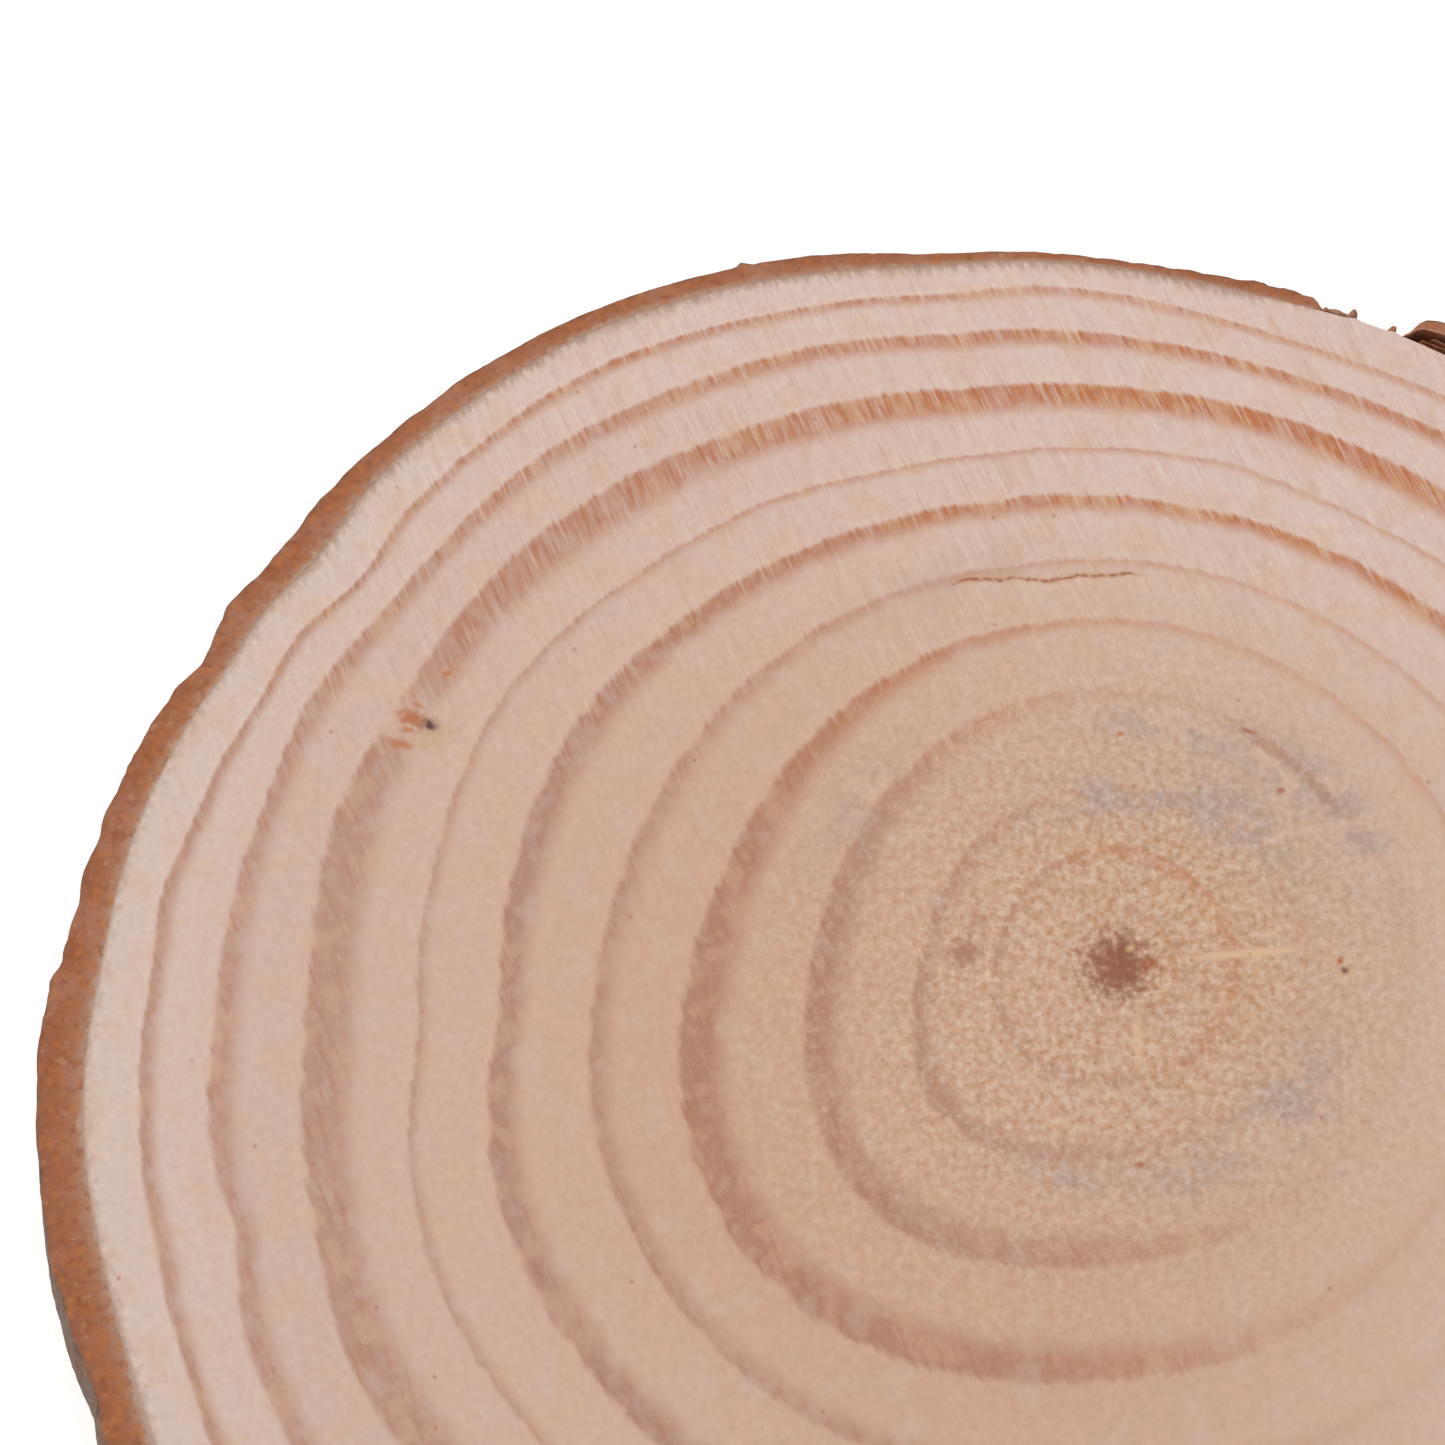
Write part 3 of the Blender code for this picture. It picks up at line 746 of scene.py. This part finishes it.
def buildBark(finish):
    first, last = stem["breakTo"] - 0.2, 360.0 + stem["breakFrom"]
    angle = np.linspace(first, last, round((last - first) / barkShape["step"]) + 1)
    fromStart, toEnd = barkShape["tornEnds"]
    lifted = smoothStep(0.0, toEnd, last - angle)
    torn = smoothStep(0.0, fromStart, angle - first) * lifted
    whole = stemOutline(angle) + sumOfBells(angle, barkShape["lumps"]) - woodEdge(angle)
    depth = whole * (0.18 + 0.82 * torn)
    inside = woodEdge(angle) + barkShape["seat"] + sumOfBells(angle, (barkShape["sprung"],)) * lifted
    spread = np.clip(depth / 1.1, 0.35, 1.0)      # thin bark has shallower ridges
    spikes = sumOfBells(angle, barkShape["spikes"])
    worn = barkShape["rimRound"] + sumOfBells(angle, (barkShape["wornRim"],))
    rows = []

    def addRow(radius, height, layer, skin, valley):
        rows.append({"points": placePoints(angle, radius, height), "layer": layer + 0.0 * angle,
                     "skin": skin + 0.0 * angle, "valley": valley + 0.0 * angle})

    def outside(level):
        skin, valley = barkOutside(angle, level)
        rim = worn * smoothStep(0.86, 1.0, max(level, 1.0 - level))
        out = np.maximum(depth + torn * (spread * skin + spikes * (level > 0.9)) - rim, 0.12)
        return inside + out, valley

    # the cross-section runs up the inside, out over the cut, down the skin and back below
    for level in np.linspace(0.02, 0.98, 6):
        addRow(inside, level * topHeight, 0.9, 0.0, 0.0)
    topOut, _ = outside(1.0)
    for share in np.linspace(0.0, 1.0, 15):
        radius = inside + (topOut - inside) * share
        flat = placePoints(angle, radius, topHeight)
        rough = 0.10 * latticeNoise(flat[:, 0] / 0.7, flat[:, 1] / 0.7, seed=21.0)
        rough += 0.06 * latticeNoise(flat[:, 0] / 0.3, flat[:, 1] / 0.3, seed=22.0)
        sunk = 0.01 + rough * smoothStep(0.0, 0.3, share) + 0.06 * share ** 4
        addRow(radius, topHeight - sunk, share, 0.0, 0.0)
    for level in np.concatenate([[0.984, 0.965], np.linspace(0.93, 0.07, 26), [0.035, 0.015]]):
        radius, valley = outside(level)
        addRow(radius, level * topHeight, 1.0, 1.0, valley)
    lowOut, _ = outside(0.0)
    for share in np.linspace(1.0, 0.0, 8):
        addRow(inside + (lowOut - inside) * share, 0.0, share, 0.0, 0.0)

    joined = {key: np.stack([row[key] for row in rows]) for key in rows[0]}
    points = joined.pop("points")
    count, columns = points.shape[:2]
    caps = []
    for ring, centre in ((np.arange(count)[::-1] * columns, count * columns),
                         ((np.arange(count) + 1) * columns - 1, count * columns + 1)):
        caps.append(np.stack([np.full(count, centre), ring, np.roll(ring, -1)], axis=1))
    middles = [points[:, 0].mean(axis=0), points[:, -1].mean(axis=0)]
    everyPoint = np.concatenate([points.reshape(-1, 3), middles])
    faces = gridQuads(count, columns, wrapRows=True).tolist() + np.concatenate(caps).tolist()
    places = stripMap(everyPoint, count, columns, caps)
    attributes = {key: np.concatenate([values.ravel(), [0.5, 0.5]]) for key, values in joined.items()}
    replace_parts(makePiece("barkStrip", everyPoint, faces, attributes, finish, places), "bark")


# Torn layers: thin papery sheets of inner bark between the lifted end and the wood, and
# scraps of it that still stick to the bare wood in the break.
tornLayers = {
    # angle from and to, gap to the wood at both ends, thickness, lowest level, highest level,
    # share of the length in which an end thins out
    "sprungSheets": ((64.6, 54.0, 0.06, 0.18, 0.10, 0.05, 0.975, 0.12),
                     (64.2, 57.0, 0.22, 0.42, 0.08, 0.20, 0.990, 0.12),
                     (63.4, 56.0, 0.62, 0.66, 0.07, 0.45, 0.985, 0.12)),
    "barkScraps": ((71.8, 68.7, 0.02, 0.02, 0.46, 0.10, 0.992, 0.14),
                   (69.80, 68.20, 0.02, 0.05, 0.84, 0.55, 0.990, 0.38),
                   (66.5, 64.9, 0.02, 0.02, 0.66, 0.30, 0.990, 0.38),
                   (68.5, 66.7, 0.01, 0.01, 0.07, 0.02, 0.970, 0.12)),
    "layers": {"sprungSheets": 0.25, "barkScraps": 0.14},    # which of the bark's layers they are
    "ragged": 0.03,               # unevenness of a sheet's height
    "waved": 0.05,                # a sheet that stands off the wood is waved by this much
}


def buildTornLayers(name, finish):
    # each sheet is a flattened tube along the wood's edge: its outline is a rounded
    # rectangle, thinner at both ends, ragged along the top and gently waved
    points, faces, layers = [], [], []
    sheets = tornLayers[name]
    along, around = 60, 24
    share = np.linspace(0.0, 1.0, along)[:, None]
    turn = np.linspace(0.0, 2.0 * np.pi, around, endpoint=False)[None, :]
    ring = np.arange(around)
    onward = np.roll(ring, -1)
    total = along * around
    for number, (start, end, gapStart, gapEnd, thick, low, high, taper) in enumerate(sheets):
        angle = start + (end - start) * share
        body = smoothStep(0.0, taper, share) * smoothStep(1.0, 1.0 - 1.4 * taper, share) * 0.9 + 0.1
        ragged = tornLayers["ragged"] * (latticeNoise(share * 14.0, 0.0, seed=31.0 + number) - 0.5)
        middle = (high + low) / 2.0 - (1.0 - body) * 0.10
        halfTall = ((high - low) / 2.0 + ragged) * (0.6 + 0.4 * body)
        halfThick = thick / 2.0 * body * (0.7 + 0.6 * latticeNoise(share * 4.0, 5.0, seed=41.0 + number))
        wave = tornLayers["waved"] * np.abs(np.sin(share * 17.0 + number)) * (gapEnd > 0.06)
        gap = gapStart + (gapEnd - gapStart) * share + thick / 2.0 + wave
        # the square root of the cosine and the sine makes the rounded rectangle
        wide = np.sign(np.cos(turn)) * np.abs(np.cos(turn)) ** 0.5
        tall = np.sign(np.sin(turn)) * np.abs(np.sin(turn)) ** 0.5
        radius = woodEdge(angle) + gap + halfThick * wide
        level = np.minimum(middle + halfTall * tall, high)
        grid = placePoints(angle + 0.0 * turn, radius, level * topHeight)
        offset = number * (total + 2)
        points += [grid.reshape(-1, 3), [grid[0].mean(axis=0)], [grid[-1].mean(axis=0)]]
        firstCap = np.stack([np.full(around, total), onward, ring], axis=1)
        lastRing = total - around
        lastCap = np.stack([np.full(around, total + 1), ring + lastRing, onward + lastRing], axis=1)
        faces += (gridQuads(along, around, wrapColumns=True)[:, ::-1] + offset).tolist()
        faces += (firstCap + offset).tolist() + (lastCap + offset).tolist()
        layers.append(np.full(total + 2, tornLayers["layers"][name] + 0.12 * number))
    everyPoint = np.concatenate(points)
    attributes = {"layer": np.concatenate(layers), "skin": np.zeros(len(everyPoint)),
                  "valley": np.zeros(len(everyPoint))}
    makePiece(name, everyPoint, faces, attributes, finish)


barkLook = {
    "cut": ((0.0, "#B09282"), (0.08, "#A87E66"), (0.28, "#9F6A4E"), (0.60, "#9D6040"),
            (0.85, "#955D42"), (1.0, "#875A43")),
    "skinRidge": "#7C5C49",
    "skinGrey": "#74635A",
    "noises": (("mottle", 0.65, 3.0), ("fine", 0.50, 2.0), ("patch", 3.0, 2.0)),  # size, detail
    # masks: what each is made from, where it starts, where it is full, and how strong
    "masks": (
        ("orange", "mottle", 0.46, 0.74, 0.55), ("pinkish", "patch", 0.54, 0.36, 0.50),
        ("darkFleck", "fine", 0.54, 0.20, 0.62), ("paleFleck", "mottle", 0.42, 0.22, 0.40),
        ("greyPatch", "patch", 0.40, 0.62, 1.0), ("paleScale", "mottle", 0.56, 0.70, 0.45),
        # the valley mask is painted shade, dark in the valleys between the ridges
        ("darkScale", "fine", 0.50, 0.32, 0.6), ("inValley", "valley.Fac", 0.15, 0.80, 0.60),
    ),
    # layers of colour over the cut and over the skin: mask and colour
    "cutLayers": (("pinkish", "#A77560"), ("orange", "#B7703D"), ("darkFleck", "#84482B"),
                  ("paleFleck", "#BF9272")),
    # the last skin layer is painted shade in the valleys between the ridges
    "skinLayers": (("paleScale", "#937C6E"), ("darkScale", "#523A2C"), ("inValley", "#46322A")),
}


def barkMaterial():
    made = newMaterial("youngPineBark")
    add = partial(addNode, made.node_tree)
    add("place", "TexCoord")
    for key in ("layer", "skin", "valley"):
        add(key, "Attribute", {"attribute_name": key})
    for key, size, detail in barkLook["noises"]:
        add(key, "TexNoise", {"Scale": 1.0 / (size * mm), "Detail": detail}, {"Vector": "place.Object"})
    for key, source, low, high, strength in barkLook["masks"]:
        add(key, "MapRange", {**smooth, "From Min": low, "From Max": high, "To Max": strength},
            {"Value": source})

    # the cut: from the pale inner bark through red-brown to the darker outer layers
    add("wavy", "Math", {"operation": "MULTIPLY_ADD", 1: 0.30}, {0: "mottle", 2: "layer.Fac"})
    add("across", "Math", {"operation": "SUBTRACT", 1: 0.15}, {0: "wavy"})
    add("cut", "ValToRGB", {"stops": barkLook["cut"]}, {"Fac": "across"})
    add("ridges", "Mix", {**coloured, 6: hexColour(barkLook["skinRidge"]),
                          7: hexColour(barkLook["skinGrey"])}, {0: "greyPatch"})
    for last, layers in (("cut", barkLook["cutLayers"]), ("ridges", barkLook["skinLayers"])):
        for mask, tint in layers:
            add("with" + mask, "Mix", {**coloured, 7: hexColour(tint)}, {0: mask, 6: last})
            last = "with" + mask
    add("colour", "Mix", coloured, {0: "skin.Fac", 6: "withpaleFleck", 7: "withinValley"})
    add("bump", "Bump", {"Strength": 0.7, "Distance": 0.10 * mm}, {"Height": "fine"})
    add("shader", "BsdfPrincipled", {"Roughness": 0.85, "IOR": 1.45, "Specular IOR Level": 0.25},
        {"Base Color": "colour", "Normal": "bump"})
    add("output", "OutputMaterial", None, {"Surface": "shader"})
    return made


studio = {
    "elevation": 70.0,            # the camera looks down at the slice, close to upright
    "distance": 225.0,
    "lens": 100.0,
    "target": (-21.69, 14.15),    # middle of the picture, from the pith
    "world": 0.62,
    "key": 3.0,
    "keySize": 0.5,               # in metres, as the next line
    "keyPlace": (-0.35, 0.30, 0.60),
    "keyTurn": (-27.0, -30.0),    # the lamp's turn round x and then round y
    "floor": "#F4F3F1",
    "floorHalf": 1.5,             # half the floor's width in metres
    "floorGap": 0.02,             # the floor lies this far below the slice
}


def addCamera():
    tilt = math.radians(studio["elevation"])
    pith, (aside, up) = stem["pith"], studio["target"]
    target = np.array([pith[0] + aside, pith[1] + up, topHeight])
    back = np.array([0.0, -math.cos(tilt), math.sin(tilt)])
    data = bpy.data.cameras.new("camera")
    data.lens = studio["lens"]
    data.sensor_width = 36.0
    data.clip_start = 0.01
    camera = bpy.data.objects.new("camera", data)
    camera.location = (target + back * studio["distance"]) * mm
    camera.rotation_euler = (math.radians(90.0 - studio["elevation"]), 0.0, 0.0)
    bpy.context.scene.collection.objects.link(camera)
    bpy.context.scene.camera = camera


def addFloor():
    made = newMaterial("paleFloor")
    add = partial(addNode, made.node_tree)
    add("shader", "BsdfPrincipled",
        {"Base Color": hexColour(studio["floor"]), "Roughness": 0.9,
         "Emission Color": (1.0, 1.0, 1.0, 1.0), "Emission Strength": 0.25})
    add("output", "OutputMaterial", None, {"Surface": "shader"})
    half = studio["floorHalf"]
    corners = [(-half, -half, 0), (half, -half, 0), (half, half, 0), (-half, half, 0)]
    mesh = bpy.data.meshes.new("floor")
    mesh.from_pydata(corners, [], [(0, 1, 2, 3)])
    mesh.materials.append(made)
    floor = bpy.data.objects.new("floor", mesh)
    floor.location.z = -studio["floorGap"] * mm
    bpy.context.scene.collection.objects.link(floor)


def addLights():
    scene = bpy.context.scene
    scene.view_settings.view_transform = "Standard"
    world = bpy.data.worlds.new("studio")
    world.use_nodes = True
    world.node_tree.nodes["Background"].inputs["Color"].default_value = (1.0, 1.0, 1.0, 1.0)
    world.node_tree.nodes["Background"].inputs["Strength"].default_value = studio["world"]
    scene.world = world
    data = bpy.data.lights.new("key", "AREA")
    data.shape = "DISK"
    data.size = studio["keySize"]
    data.energy = studio["key"]
    light = bpy.data.objects.new("key", data)
    light.location = studio["keyPlace"]
    light.rotation_euler = [math.radians(turn) for turn in studio["keyTurn"] + (0.0,)]
    scene.collection.objects.link(light)


addCamera()
addFloor()
addLights()
print("studio set")
wood = woodMaterial()
bark = barkMaterial()
print("materials made")
buildWood(wood)
buildBark(bark)
buildTornLayers("sprungSheets", bark)
buildTornLayers("barkScraps", bark)
